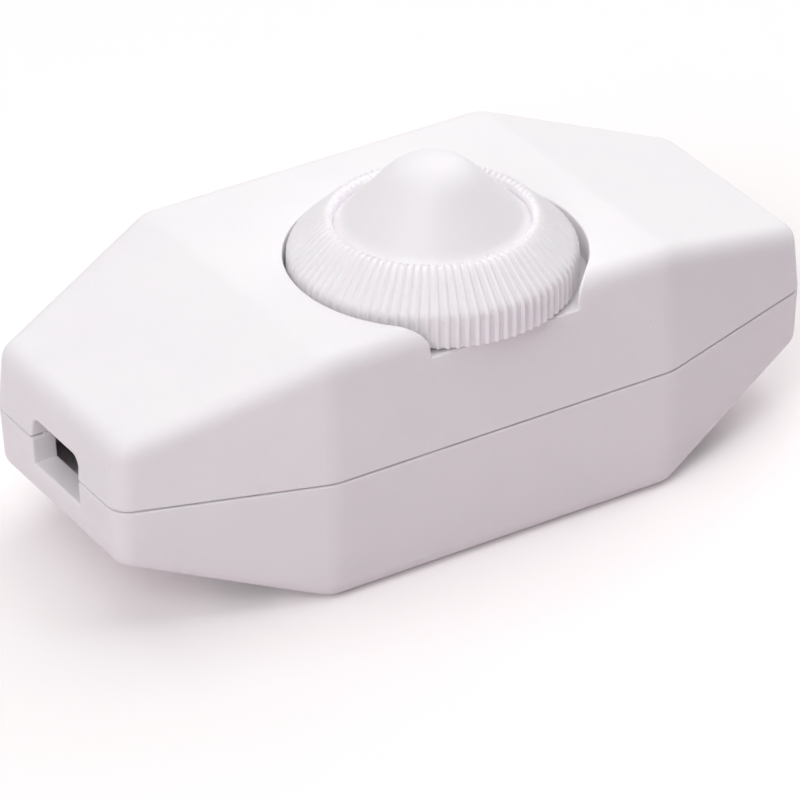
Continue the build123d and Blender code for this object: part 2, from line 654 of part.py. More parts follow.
def make_switch_lever():
    length = LEVER_LENGTH
    arm = Pos(-length / 2, 0) * SlotCenterToCenter(length, LEVER_WIDTH)
    eye = Circle(LEVER_PIN_RADIUS * 2)
    lever = extrude(arm + eye - Circle(LEVER_PIN_RADIUS + RUNNING_CLEARANCE), LEVER_HEIGHT)
    return Pos(LEVER_OFFSET, DIAL_Y + LEVER_OFFSET, LEVER_Z) * lever


def make_moving_contact():
    """A silver button riveted on top of the lever's free end."""
    place = Pos(LEVER_OFFSET - LEVER_LENGTH, DIAL_Y + LEVER_OFFSET, LEVER_Z + LEVER_HEIGHT)
    return place * extrude(Circle(LEVER_WIDTH / 2), CONTACT_HEIGHT)


def make_lever_pin():
    pin = column(0, 0, LEVER_PIN_RADIUS, SWITCH_FLOOR_Z, LEVER_Z + LEVER_HEIGHT + INNER_GAP)
    return Pos(LEVER_OFFSET, DIAL_Y + LEVER_OFFSET, 0) * pin


def make_fixed_contacts():
    """The posts on both sides of the lever's free end, one at each end of its swing."""
    offset = LEVER_WIDTH / 2 + CONTACT_RADIUS + INNER_GAP
    posts = []
    for angle, side in ((180, -1), (180 + LEVER_TURN, 1)):
        turn = radians(angle)
        x = LEVER_OFFSET + LEVER_LENGTH * cos(turn) - side * offset * sin(turn)
        y = LEVER_OFFSET + LEVER_LENGTH * sin(turn) + side * offset * cos(turn)
        posts.append(DIAL_AXIS * column(x, y, CONTACT_RADIUS, SWITCH_FLOOR_Z, LEVER_Z + LEVER_HEIGHT))
    return posts


def make_circuit_board():
    board = Rectangle(BOARD_LENGTH, BOARD_WIDTH) + Rectangle(BOARD_TONGUE_LENGTH, BOARD_TONGUE_WIDTH)
    for x in (-POST_X, POST_X):
        board -= Pos(x, POST_Y) * Circle(BOARD_SCREW_RADIUS + SCREW_CLEARANCE)
    return Pos(0, 0, BOARD_Z) * extrude(board, BOARD_THICKNESS)


def cheese_screw(head_radius, head_height, radius, length):
    """A slotted screw with its head's seat at Z = 0, pointing down."""
    screw = column(0, 0, head_radius, 0, head_height) + column(0, 0, radius, -length, 0)
    slot = slab(2 * head_radius, SLOT_WIDTH / 2, head_height / 2, head_height)
    return screw - slot


def make_board_screws():
    screw = cheese_screw(BOARD_SCREW_HEAD_RADIUS, BOARD_SCREW_HEAD_HEIGHT, BOARD_SCREW_RADIUS,
                         BOARD_SCREW_LENGTH - INNER_GAP)
    return [Pos(x, POST_Y, BOARD_TOP_Z) * screw for x in (-POST_X, POST_X)]


def triac_start_y():
    """The bare end of the triac's tab."""
    return SINK_Y - SINK_LENGTH / 2 + SCREW_CLEARANCE


def make_heat_sink():
    """A folded plate: a foot on the board and a fin standing beside the triac."""
    foot = slab(SINK_WIDTH, SINK_LENGTH, BOARD_TOP_Z, BOARD_TOP_Z + SINK_THICKNESS)
    fin = slab(SINK_THICKNESS, SINK_LENGTH, BOARD_TOP_Z, BOARD_TOP_Z + SINK_FIN_HEIGHT,
               x=(SINK_WIDTH - SINK_THICKNESS) / 2)
    sink = Pos(SINK_X, SINK_Y, 0) * (foot + fin)
    return sink - rivet_hole()


def rivet_place():
    return SINK_X - SINK_THICKNESS / 2, triac_start_y() + TRIAC_TAB_LENGTH / 2


def rivet_hole():
    x, y = rivet_place()
    top = BOARD_TOP_Z + SINK_THICKNESS + TRIAC_TAB_THICKNESS
    return column(x, y, RIVET_RADIUS + FIT_CLEARANCE, BOARD_TOP_Z, top)


def make_triac_frame():
    """The triac's metal tab, and its three leads bent down to the board."""
    x = rivet_place()[0]
    low = BOARD_TOP_Z + SINK_THICKNESS
    start = triac_start_y()
    length = TRIAC_TAB_LENGTH + TRIAC_BODY_LENGTH
    tab = slab(TRIAC_WIDTH, length, low, low + TRIAC_TAB_THICKNESS, x=x, y=start + length / 2)
    leads = []
    lead_z = low + TRIAC_HEIGHT / 2
    lead_y = start + length
    side = 2 * LEAD_RADIUS
    for step in (-1, 0, 1):
        lead_x = x + step * TRIAC_PITCH
        run = slab(side, TRIAC_LEAD_REACH, lead_z - side, lead_z, x=lead_x, y=lead_y + TRIAC_LEAD_REACH / 2)
        down = slab(side, side, BOARD_TOP_Z, lead_z, x=lead_x, y=lead_y + TRIAC_LEAD_REACH - side / 2)
        leads.append(run + down)
    return [tab - rivet_hole(), *leads]


def make_triac_body():
    x = rivet_place()[0]
    low = BOARD_TOP_Z + SINK_THICKNESS + TRIAC_TAB_THICKNESS
    high = BOARD_TOP_Z + SINK_THICKNESS + TRIAC_HEIGHT
    y = triac_start_y() + TRIAC_TAB_LENGTH + TRIAC_BODY_LENGTH / 2
    return slab(TRIAC_WIDTH, TRIAC_BODY_LENGTH, low, high, x=x, y=y)


def make_triac_rivet():
    x, y = rivet_place()
    tab_top = BOARD_TOP_Z + SINK_THICKNESS + TRIAC_TAB_THICKNESS
    shank = column(x, y, RIVET_RADIUS, BOARD_TOP_Z, tab_top)
    return shank + column(x, y, RIVET_HEAD_RADIUS, tab_top, tab_top + RIVET_HEAD_HEIGHT)


def make_choke_core():
    """The ferrite bobbin of the interference choke."""
    top = BOARD_TOP_Z + CHOKE_HEIGHT
    core = column(CHOKE_X, CHOKE_Y, CHOKE_CORE_RADIUS, BOARD_TOP_Z, top)
    core += column(CHOKE_X, CHOKE_Y, CHOKE_FLANGE_RADIUS, BOARD_TOP_Z, BOARD_TOP_Z + CHOKE_FLANGE)
    return core + column(CHOKE_X, CHOKE_Y, CHOKE_FLANGE_RADIUS, top - CHOKE_FLANGE, top)


def make_choke_winding():
    low = BOARD_TOP_Z + CHOKE_FLANGE
    high = BOARD_TOP_Z + CHOKE_HEIGHT - CHOKE_FLANGE
    coil = column(CHOKE_X, CHOKE_Y, CHOKE_WINDING_RADIUS, low, high)
    return coil - column(CHOKE_X, CHOKE_Y, CHOKE_CORE_RADIUS + FIT_CLEARANCE, low, high)


def boxed_capacitor(size, place):
    """A moulded box capacitor with rounded upright edges, standing on the board."""
    block = slab(size[0], size[1], BOARD_TOP_Z, BOARD_TOP_Z + size[2], x=place[0], y=place[1])
    return fillet(block.edges().filter_by(Axis.Z), CAP_EDGE)


def make_film_capacitor():
    return boxed_capacitor(FILM_CAP_SIZE, FILM_CAP_PLACE)


def make_timing_capacitor():
    return boxed_capacitor(TIMING_CAP_SIZE, TIMING_CAP_PLACE)


def axial_part(radius, length, place):
    """A small round body lying along X, held by a lead at each end."""
    axis_z = BOARD_TOP_Z + radius + RUNNING_CLEARANCE
    body = Pos(-length / 2, 0, 0) * extrude(Plane.YZ * Circle(radius), length)
    side = 2 * LEAD_RADIUS
    drop = axis_z - BOARD_TOP_Z
    for step in (-1, 1):
        end = step * (length / 2 + AXIAL_LEAD_REACH)
        lead = Pos(step * (length + AXIAL_LEAD_REACH) / 2, 0, 0) * Box(AXIAL_LEAD_REACH, side, side)
        lead += Pos(end - step * LEAD_RADIUS, 0, -drop / 2) * Box(side, side, drop)
        body += lead
    return Pos(place[0], place[1], axis_z) * body


def make_resistors():
    return [axial_part(RESISTOR_RADIUS, RESISTOR_LENGTH, place) for place in RESISTOR_PLACES]


def make_diac():
    return axial_part(DIAC_RADIUS, DIAC_LENGTH, DIAC_PLACE)


def fuse_rod(radius, length, shift=0.0):
    """A cylinder on the fuse's axis."""
    z = BOARD_TOP_Z + FUSE_LIFT + FUSE_RADIUS
    return Pos(FUSE_X - length / 2 + shift, FUSE_Y, z) * extrude(Plane.YZ * Circle(radius), length)


def make_fuse_tube():
    length = FUSE_LENGTH - 2 * FUSE_CAP_THICKNESS
    glass = fuse_rod(FUSE_RADIUS - FUSE_CAP_THICKNESS - FIT_CLEARANCE, length)
    return glass - fuse_rod(FUSE_BORE_RADIUS, length)


def make_fuse_wire():
    return fuse_rod(FUSE_WIRE_RADIUS, FUSE_LENGTH - 2 * FUSE_CAP_THICKNESS)


def make_fuse_caps():
    caps = []
    for side in (-1, 1):
        shift = side * (FUSE_LENGTH - FUSE_CAP_LENGTH) / 2
        cap = fuse_rod(FUSE_RADIUS, FUSE_CAP_LENGTH, shift)
        bore = fuse_rod(FUSE_RADIUS - FUSE_CAP_THICKNESS, FUSE_CAP_LENGTH, shift - side * FUSE_CAP_THICKNESS)
        caps.append(cap - bore)
    return caps


def make_fuse_clips():
    """Open spring clips, each round one cap."""
    clips = []
    radius = FUSE_RADIUS + FIT_CLEARANCE
    axis_z = BOARD_TOP_Z + FUSE_LIFT + FUSE_RADIUS
    for side in (-1, 1):
        shift = side * (FUSE_LENGTH - FUSE_CAP_LENGTH) / 2
        x = FUSE_X + shift
        clip = fuse_rod(radius + CLIP_THICKNESS, CLIP_WIDTH, shift)
        clip += slab(CLIP_WIDTH, 2 * FUSE_RADIUS, BOARD_TOP_Z, BOARD_TOP_Z + FUSE_LIFT, x=x, y=FUSE_Y)
        clip -= fuse_rod(radius, CLIP_WIDTH, shift)
        clips.append(clip - slab(CLIP_WIDTH, 4 * FUSE_RADIUS, axis_z + FUSE_RADIUS / 2,
                                 axis_z + 2 * FUSE_RADIUS, x=x, y=FUSE_Y))
    return clips


def terminal_places():
    return [(side, step * TERMINAL_PITCH / 2) for side in (-1, 1) for step in (-1, 1)]


def make_terminal_blocks():
    """Two-pole blocks, with wire entries towards the inlets and screw wells on top."""
    blocks = []
    x_size, y_size, z_size = TERMINAL_SIZE
    top = BOARD_TOP_Z + z_size
    for side in (-1, 1):
        x = side * TERMINAL_X
        block = slab(x_size, y_size, BOARD_TOP_Z, top, x=x)
        for y in (-TERMINAL_PITCH / 2, TERMINAL_PITCH / 2):
            entry = extrude(Plane.YZ * Circle(TERMINAL_ENTRY_RADIUS), x_size / 2)
            entry_x = x if side > 0 else x - x_size / 2
            block -= Pos(entry_x, y, BOARD_TOP_Z + z_size / 3) * entry
            block -= column(x, y, TERMINAL_SCREW_RADIUS + FIT_CLEARANCE,
                            top - TERMINAL_SCREW_HEIGHT - SLOT_DEPTH, top)
        blocks.append(block)
    return blocks


def make_terminal_screws():
    seat = BOARD_TOP_Z + TERMINAL_SIZE[2] - TERMINAL_SCREW_HEIGHT - SLOT_DEPTH
    screw = column(0, 0, TERMINAL_SCREW_RADIUS, seat, seat + TERMINAL_SCREW_HEIGHT)
    screw -= slab(2 * TERMINAL_SCREW_RADIUS, SLOT_WIDTH / 2, seat + TERMINAL_SCREW_HEIGHT - SLOT_DEPTH,
                  seat + TERMINAL_SCREW_HEIGHT)
    return [Pos(side * TERMINAL_X, y, 0) * screw for side, y in terminal_places()]


def make_cord_clamps():
    """Bars that would press the cord on the saddle ribs, resting on their posts."""
    bars = []
    x_size, y_size, z_size = CLAMP_SIZE
    low = INLET_ROOF_Z + CLAMP_LIFT
    for side in (-1, 1):
        bar = slab(x_size, y_size, low, low + z_size, x=side * CLAMP_X)
        bar = fillet(bar.edges().filter_by(Axis.Z), CAP_EDGE)
        for y in (-CLAMP_SCREW_Y, CLAMP_SCREW_Y):
            bar -= column(side * CLAMP_X, y, CLAMP_SCREW_RADIUS + SCREW_CLEARANCE, low, low + z_size)
        bars.append(bar)
    return bars


def make_clamp_screws():
    screw = cheese_screw(CLAMP_HEAD_RADIUS, CLAMP_HEAD_HEIGHT, CLAMP_SCREW_RADIUS,
                         CLAMP_SCREW_LENGTH - INNER_GAP)
    top = INLET_ROOF_Z + CLAMP_LIFT + CLAMP_SIZE[2]
    return [Pos(x, y, top) * screw for x, y in clamp_places()]


PIECES = {
    "lower_housing": make_lower_housing,
    "upper_housing": make_upper_housing,
    "housing_screws": make_housing_screws,
    "dial_knob": make_dial_knob,
    "control_shaft": make_control_shaft,
    "control_bushing": make_bushing,
    "bushing_nut": make_bushing_nut,
    "control_case": make_control_case,
    "control_lugs": make_control_lugs,
    "resistive_track": make_resistive_track,
    "wiper_rotor": make_wiper_rotor,
    "wiper_contact": make_wiper_contact,
    "switch_case": make_switch_case,
    "switch_cam": make_switch_cam,
    "switch_lever": make_switch_lever,
    "moving_contact": make_moving_contact,
    "lever_pin": make_lever_pin,
    "fixed_contacts": make_fixed_contacts,
    "circuit_board": make_circuit_board,
    "board_screws": make_board_screws,
    "heat_sink": make_heat_sink,
    "triac_frame": make_triac_frame,
    "triac_body": make_triac_body,
    "triac_rivet": make_triac_rivet,
    "choke_core": make_choke_core,
    "choke_winding": make_choke_winding,
    "film_capacitor": make_film_capacitor,
    "timing_capacitor": make_timing_capacitor,
    "resistors": make_resistors,
    "diac": make_diac,
    "fuse_tube": make_fuse_tube,
    "fuse_wire": make_fuse_wire,
    "fuse_caps": make_fuse_caps,
    "fuse_clips": make_fuse_clips,
    "terminal_blocks": make_terminal_blocks,
    "terminal_screws": make_terminal_screws,
    "cord_clamps": make_cord_clamps,
    "clamp_screws": make_clamp_screws,
}

os.makedirs("parts", exist_ok=True)
for name, make in PIECES.items():
    piece = make()
    if isinstance(piece, list):
        piece = Compound(children=[solid for item in piece for solid in item.solids()])
    export_step(piece, f"parts/{name}.step")
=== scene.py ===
"""Looks of the inline rotary dimmer: white moulded housing and fluted dial on a white studio floor.

Blender works in metres, in the part's own frame. The values here are in millimetres, which MM turns
to metres, apart from those of the lamps and the floor, which are in metres already.
"""
import json
from math import cos, pi, radians, sin, tan

import bpy
from mathutils import Matrix, Vector


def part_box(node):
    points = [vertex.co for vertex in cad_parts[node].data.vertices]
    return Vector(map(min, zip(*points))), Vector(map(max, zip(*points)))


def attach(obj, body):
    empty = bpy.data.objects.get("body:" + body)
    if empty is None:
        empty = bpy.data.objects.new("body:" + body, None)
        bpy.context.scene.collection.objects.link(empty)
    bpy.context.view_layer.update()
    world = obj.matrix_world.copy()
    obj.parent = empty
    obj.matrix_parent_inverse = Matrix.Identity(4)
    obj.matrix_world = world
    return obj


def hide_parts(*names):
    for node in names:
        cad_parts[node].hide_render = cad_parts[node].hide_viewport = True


MM = 0.001

# The dial's axis stands at this y and at x = 0
DIAL_Y = -5.8

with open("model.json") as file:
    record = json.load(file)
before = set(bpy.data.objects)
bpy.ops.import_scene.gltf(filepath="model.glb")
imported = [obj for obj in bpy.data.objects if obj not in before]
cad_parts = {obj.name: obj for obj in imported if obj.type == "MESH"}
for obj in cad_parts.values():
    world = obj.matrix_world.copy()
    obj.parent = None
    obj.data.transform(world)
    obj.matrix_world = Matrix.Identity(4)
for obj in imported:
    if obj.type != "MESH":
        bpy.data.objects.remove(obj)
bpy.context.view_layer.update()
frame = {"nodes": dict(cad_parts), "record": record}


# Colour and node helpers

def linear(hex_colour):
    """An sRGB hex value as linear RGB with full alpha, by the curve of the sRGB standard."""
    channels = [int(hex_colour[i:i + 2], 16) / 255 for i in (0, 2, 4)]
    return [c / 12.92 if c <= 0.04045 else ((c + 0.055) / 1.055) ** 2.4 for c in channels] + [1.0]


def add(tree, kind, sockets=None, **settings):
    """Adds a node with its settings. A socket takes a node's first output, an output or a value."""
    node = tree.nodes.new(kind)
    for name, value in settings.items():
        setattr(node, name, value)
    for socket, value in (sockets or {}).items():
        if isinstance(value, bpy.types.Node):
            value = value.outputs[0]
        if isinstance(value, bpy.types.NodeSocket):
            tree.links.new(value, node.inputs[socket])
        else:
            node.inputs[socket].default_value = value
    return node


def start_material(name):
    """An empty material, its tree and the piece's own coordinates."""
    material = bpy.data.materials.new(name)
    material.use_nodes = True
    tree = material.node_tree
    tree.nodes.clear()
    return material, tree, add(tree, "ShaderNodeTexCoord").outputs["Object"]


def end_material(tree, shader):
    """Gives the tree its output."""
    add(tree, "ShaderNodeOutputMaterial", {"Surface": shader})


# Materials, each from what the real one is. Sizes and reliefs of patterns are in millimetres.

# A Mix node's sockets for colours go by number, because their names repeat for each kind of value
MIX_SHARE, MIX_FROM, MIX_TO = 0, 6, 7
MIX_RESULT = 2

# The part of a noise's values that is spread from 0 to 1: nearly all of them, those of two noises
# multiplied, or the peaks alone
SPREAD = {"From Min": 0.3, "From Max": 0.7}
SPREAD_PRODUCT = {"From Min": 0.15, "From Max": 0.4}
SPREAD_PEAKS = {"From Min": 0.45, "From Max": 0.75}

PLASTIC_IOR = 1.53
RESIN_IOR = 1.6
GLASS_IOR = 1.52
FINE_RELIEF = 0.01

FLOW_PATCH = 9.0
SHEEN_DRIFT = 0.03
SPECK_SPACING = 7.0
SPECK_RADIUS = 0.09
SPECK_CORE = 0.6
SPECK_GREY = "B9B2B6"
SCATTER_REACH = (1.0, 0.9, 0.95)

METAL_PATCH = 3.0
METAL_SMOOTHER = 0.08
METAL_ROUGHER = 0.1

# Each stretch here is a Mapping node's scale: 0.33 draws the pattern out three times along an axis
FLECK_SIZE = 0.5
FLECK_STRETCH = (0.33, 1, 1)
FLECK_RELIEF = 0.015
LAYER_SIZE = 0.12
LAYER_STRETCH = (0.025, 0.025, 1)

TRACK_RADII = (4.05, 6.35)
TRACK_GRIT = 0.2
TRACK_BROWN = "7A5634"
TRACK_BLACK = "1C1B1C"

RESISTOR_X = -10.0
RESISTOR_HALF = 3.0
RESISTOR_RINGS = ((-1.9, "6A4526"), (-0.9, "1D1B1B"), (0.1, "D27F26"), (1.6, "B08A35"))
RING_HALF = 0.29
LACQUER_RUN = 0.8
LACQUER_BEIGE = "CDB58A"
LACQUER_THICK = "BCA06E"
TINNED_WIRE = "C6C4BF"

POWDER_GRAIN = 0.18
POWDER_RELIEF = 0.02
POWDER_ROUGHER = 0.12

GLASS_WAVE = 1.2
GLASS_STRETCH = (0.17, 1, 1)
GLASS_TINT = "F1F7F5"

ENAMEL_PATCH = 1.5
ENAMEL_THIN = "B4602F"
ENAMEL_THICK = "8E431C"
ENAMEL_SHINE = {"To Min": 0.24, "To Max": 0.34}


def moulded_plastic(name, colour, deep, roughness, grain=0.3, relief=0.02, specks=False,
                    scatter=0.0, depth=1.2):
    """Injection-moulded plastic: a matt grain from the eroded mould, and a sheen that drifts.

    The sheen and tone drift with the plastic's flow. White plastic lets light a little way in, so
    its edges glow and its narrow gaps never go black. The real grain of 0.1 mm is drawn coarser so
    that it shows. Specks are the rare dark grains of dust that white parts pick up in the press.
    """
    material, tree, place = start_material(name)
    fine = add(tree, "ShaderNodeTexNoise", {"Vector": place, "Scale": 1 / (grain * MM),
                                            "Detail": 3.0})
    flow = add(tree, "ShaderNodeTexNoise", {"Vector": place, "Scale": 1 / (FLOW_PATCH * MM)})
    share = add(tree, "ShaderNodeMapRange", {"Value": flow, **SPREAD})
    tone = add(tree, "ShaderNodeMix", {
        MIX_SHARE: share, MIX_FROM: linear(colour), MIX_TO: linear(deep)}, data_type="RGBA")
    if specks:
        cells = add(tree, "ShaderNodeTexVoronoi", {"Vector": place,
                                                   "Scale": 1 / (SPECK_SPACING * MM)})
        reach = SPECK_RADIUS / SPECK_SPACING
        spot = add(tree, "ShaderNodeMapRange", {
            "Value": cells.outputs["Distance"], "From Min": reach, "From Max": reach * SPECK_CORE})
        tone = add(tree, "ShaderNodeMix", {
            MIX_SHARE: spot, MIX_FROM: tone.outputs[MIX_RESULT], MIX_TO: linear(SPECK_GREY)},
            data_type="RGBA")
    shine = add(tree, "ShaderNodeMapRange", {
        "Value": share, "To Min": roughness - SHEEN_DRIFT, "To Max": roughness + SHEEN_DRIFT})
    normal = add(tree, "ShaderNodeBump", {"Height": fine, "Distance": relief * MM})
    end_material(tree, add(tree, "ShaderNodeBsdfPrincipled", {
        "Base Color": tone.outputs[MIX_RESULT], "Roughness": shine, "Normal": normal,
        "IOR": PLASTIC_IOR, "Subsurface Weight": scatter, "Subsurface Scale": depth * MM,
        "Subsurface Radius": SCATTER_REACH}))
    return material


def bare_metal(name, colour, dull, roughness, stretch=(1, 1, 1), grain=0.25):
    """Metal as rolled, drawn or plated: fine marks the way it was worked, and duller patches.

    The real marks of a few hundredths of a millimetre are drawn coarser so that they show. The
    stretch says how many times longer they are along each axis.
    """
    material, tree, place = start_material(name)
    along = add(tree, "ShaderNodeMapping", {"Vector": place, "Scale": [1 / s for s in stretch]})
    marks = add(tree, "ShaderNodeTexNoise", {"Vector": along, "Scale": 1 / (grain * MM),
                                             "Detail": 3.0})
    patches = add(tree, "ShaderNodeTexNoise", {"Vector": place, "Scale": 1 / (METAL_PATCH * MM)})
    share = add(tree, "ShaderNodeMapRange", {"Value": patches, **SPREAD})
    tone = add(tree, "ShaderNodeMix", {
        MIX_SHARE: share, MIX_FROM: linear(colour), MIX_TO: linear(dull)}, data_type="RGBA")
    shine = add(tree, "ShaderNodeMapRange", {
        "Value": marks, **SPREAD, "To Min": roughness - METAL_SMOOTHER,
        "To Max": roughness + METAL_ROUGHER})
    normal = add(tree, "ShaderNodeBump", {"Height": marks, "Distance": FINE_RELIEF * MM})
    end_material(tree, add(tree, "ShaderNodeBsdfPrincipled", {
        "Base Color": tone.outputs[MIX_RESULT], "Metallic": 1.0, "Roughness": shine,
        "Normal": normal}))
    return material


def paper_laminate(name, colour, fibre):
    """Phenolic paper board: pressed sheets, with flecks of fibre on the faces and layered edges.

    The real fibres of a few hundredths of a millimetre are drawn coarser so that they show.
    """
    material, tree, place = start_material(name)
    lengthwise = add(tree, "ShaderNodeMapping", {"Vector": place, "Scale": FLECK_STRETCH})
    flecks = add(tree, "ShaderNodeTexNoise", {
        "Vector": lengthwise, "Scale": 1 / (FLECK_SIZE * MM), "Detail": 4.0})
    flattened = add(tree, "ShaderNodeMapping", {"Vector": place, "Scale": LAYER_STRETCH})
    layers = add(tree, "ShaderNodeTexNoise", {"Vector": flattened, "Scale": 1 / (LAYER_SIZE * MM)})
    mixed = add(tree, "ShaderNodeMath", {0: flecks, 1: layers}, operation="MULTIPLY")
    share = add(tree, "ShaderNodeMapRange", {"Value": mixed, **SPREAD_PRODUCT})
    tone = add(tree, "ShaderNodeMix", {
        MIX_SHARE: share, MIX_FROM: linear(colour), MIX_TO: linear(fibre)}, data_type="RGBA")
    normal = add(tree, "ShaderNodeBump", {"Height": flecks, "Distance": FLECK_RELIEF * MM})
    end_material(tree, add(tree, "ShaderNodeBsdfPrincipled", {
        "Base Color": tone.outputs[MIX_RESULT], "Roughness": 0.45, "Normal": normal,
        "IOR": RESIN_IOR}))
    return material


def carbon_track():
    """A carbon ring screened on the brown disc of the control, matt black between bare edges.

    The real grit of a few hundredths of a millimetre is drawn coarser so that it shows.
    """
    material, tree, place = start_material("screened_carbon_on_phenolic")
    centred = add(tree, "ShaderNodeMapping", {
        "Vector": place, "Location": (0, -DIAL_Y * MM, 0), "Scale": (1, 1, 0)})
    reach = add(tree, "ShaderNodeVectorMath", {0: centred}, operation="LENGTH").outputs["Value"]
    middle = (TRACK_RADII[0] + TRACK_RADII[1]) / 2 * MM
    half = (TRACK_RADII[1] - TRACK_RADII[0]) / 2 * MM
    ring = add(tree, "ShaderNodeMath", {0: reach, 1: middle, 2: half}, operation="COMPARE")
    tone = add(tree, "ShaderNodeMix", {
        MIX_SHARE: ring, MIX_FROM: linear(TRACK_BROWN), MIX_TO: linear(TRACK_BLACK)},
        data_type="RGBA")
    grit = add(tree, "ShaderNodeTexNoise", {"Vector": place, "Scale": 1 / (TRACK_GRIT * MM),
                                            "Detail": 3.0})
    normal = add(tree, "ShaderNodeBump", {"Height": grit, "Distance": FINE_RELIEF * MM})
    end_material(tree, add(tree, "ShaderNodeBsdfPrincipled", {
        "Base Color": tone.outputs[MIX_RESULT], "Roughness": 0.6, "Normal": normal,
        "IOR": RESIN_IOR}))
    return material


def banded_lacquer():
    """Beige lacquer over a film resistor: painted value rings round it, tinned wire at its ends."""
    material, tree, place = start_material("lacquered_film_resistor")
    centred = add(tree, "ShaderNodeMapping", {
        "Vector": place, "Location": (-RESISTOR_X * MM, 0, 0)})
    along = add(tree, "ShaderNodeSeparateXYZ", {0: centred})
    runs = add(tree, "ShaderNodeTexNoise", {"Vector": place, "Scale": 1 / (LACQUER_RUN * MM)})
    tone = add(tree, "ShaderNodeMix", {
        MIX_SHARE: runs, MIX_FROM: linear(LACQUER_BEIGE), MIX_TO: linear(LACQUER_THICK)},
        data_type="RGBA")
    for centre, paint in RESISTOR_RINGS:
        ring = add(tree, "ShaderNodeMath", {0: along, 1: centre * MM, 2: RING_HALF * MM},
                   operation="COMPARE")
        tone = add(tree, "ShaderNodeMix", {
            MIX_SHARE: ring, MIX_FROM: tone.outputs[MIX_RESULT], MIX_TO: linear(paint)},
            data_type="RGBA")
    body = add(tree, "ShaderNodeMath", {0: along, 1: 0.0, 2: RESISTOR_HALF * MM},
               operation="COMPARE")
    wire = add(tree, "ShaderNodeMath", {0: 1.0, 1: body}, operation="SUBTRACT")
    tone = add(tree, "ShaderNodeMix", {
        MIX_SHARE: wire, MIX_FROM: tone.outputs[MIX_RESULT], MIX_TO: linear(TINNED_WIRE)},
        data_type="RGBA")
    normal = add(tree, "ShaderNodeBump", {"Height": runs, "Distance": FINE_RELIEF * MM})
    end_material(tree, add(tree, "ShaderNodeBsdfPrincipled", {
        "Base Color": tone.outputs[MIX_RESULT], "Metallic": wire, "Roughness": 0.32,
        "Normal": normal}))
    return material


def sintered(name, colour, fleck, roughness):
    """Pressed and fired powder, or filled moulding powder: matt, with tiny lighter grains.

    The real grains of a few hundredths of a millimetre are drawn coarser so that they show.
    """
    material, tree, place = start_material(name)
    grains = add(tree, "ShaderNodeTexNoise", {
        "Vector": place, "Scale": 1 / (POWDER_GRAIN * MM), "Detail": 4.0})
    share = add(tree, "ShaderNodeMapRange", {"Value": grains, **SPREAD_PEAKS})
    tone = add(tree, "ShaderNodeMix", {
        MIX_SHARE: share, MIX_FROM: linear(colour), MIX_TO: linear(fleck)}, data_type="RGBA")
    shine = add(tree, "ShaderNodeMapRange", {
        "Value": grains, "To Min": roughness, "To Max": roughness + POWDER_ROUGHER})
    normal = add(tree, "ShaderNodeBump", {"Height": grains, "Distance": POWDER_RELIEF * MM})
    end_material(tree, add(tree, "ShaderNodeBsdfPrincipled", {
        "Base Color": tone.outputs[MIX_RESULT], "Roughness": shine, "Normal": normal,
        "IOR": RESIN_IOR}))
    return material


def drawn_glass():
    """Soda-lime glass tube: clear and smooth, with the faintest waviness along it."""
    material, tree, place = start_material("drawn_soda_glass")
    along = add(tree, "ShaderNodeMapping", {"Vector": place, "Scale": GLASS_STRETCH})
    waves = add(tree, "ShaderNodeTexNoise", {"Vector": along, "Scale": 1 / (GLASS_WAVE * MM),
                                             "Detail": 1.0})
    normal = add(tree, "ShaderNodeBump", {"Height": waves, "Distance": FINE_RELIEF * MM})
    end_material(tree, add(tree, "ShaderNodeBsdfPrincipled", {
        "Base Color": linear(GLASS_TINT), "Transmission Weight": 1.0, "Roughness": 0.02,
        "IOR": GLASS_IOR, "Normal": normal}))
    return material


def enamelled_wire():
    """Copper wire under amber enamel: warm metal under a clear coat, darker where that is thick."""
    material, tree, place = start_material("enamelled_copper_wire")
    patches = add(tree, "ShaderNodeTexNoise", {"Vector": place, "Scale": 1 / (ENAMEL_PATCH * MM)})
    share = add(tree, "ShaderNodeMapRange", {"Value": patches, **SPREAD})
    tone = add(tree, "ShaderNodeMix", {
        MIX_SHARE: share, MIX_FROM: linear(ENAMEL_THIN), MIX_TO: linear(ENAMEL_THICK)},
        data_type="RGBA")
    shine = add(tree, "ShaderNodeMapRange", {"Value": share, **ENAMEL_SHINE})
    end_material(tree, add(tree, "ShaderNodeBsdfPrincipled", {
        "Base Color": tone.outputs[MIX_RESULT], "Metallic": 1.0, "Roughness": shine,
        "Coat Weight": 0.8, "Coat Roughness": 0.08}))
    return material


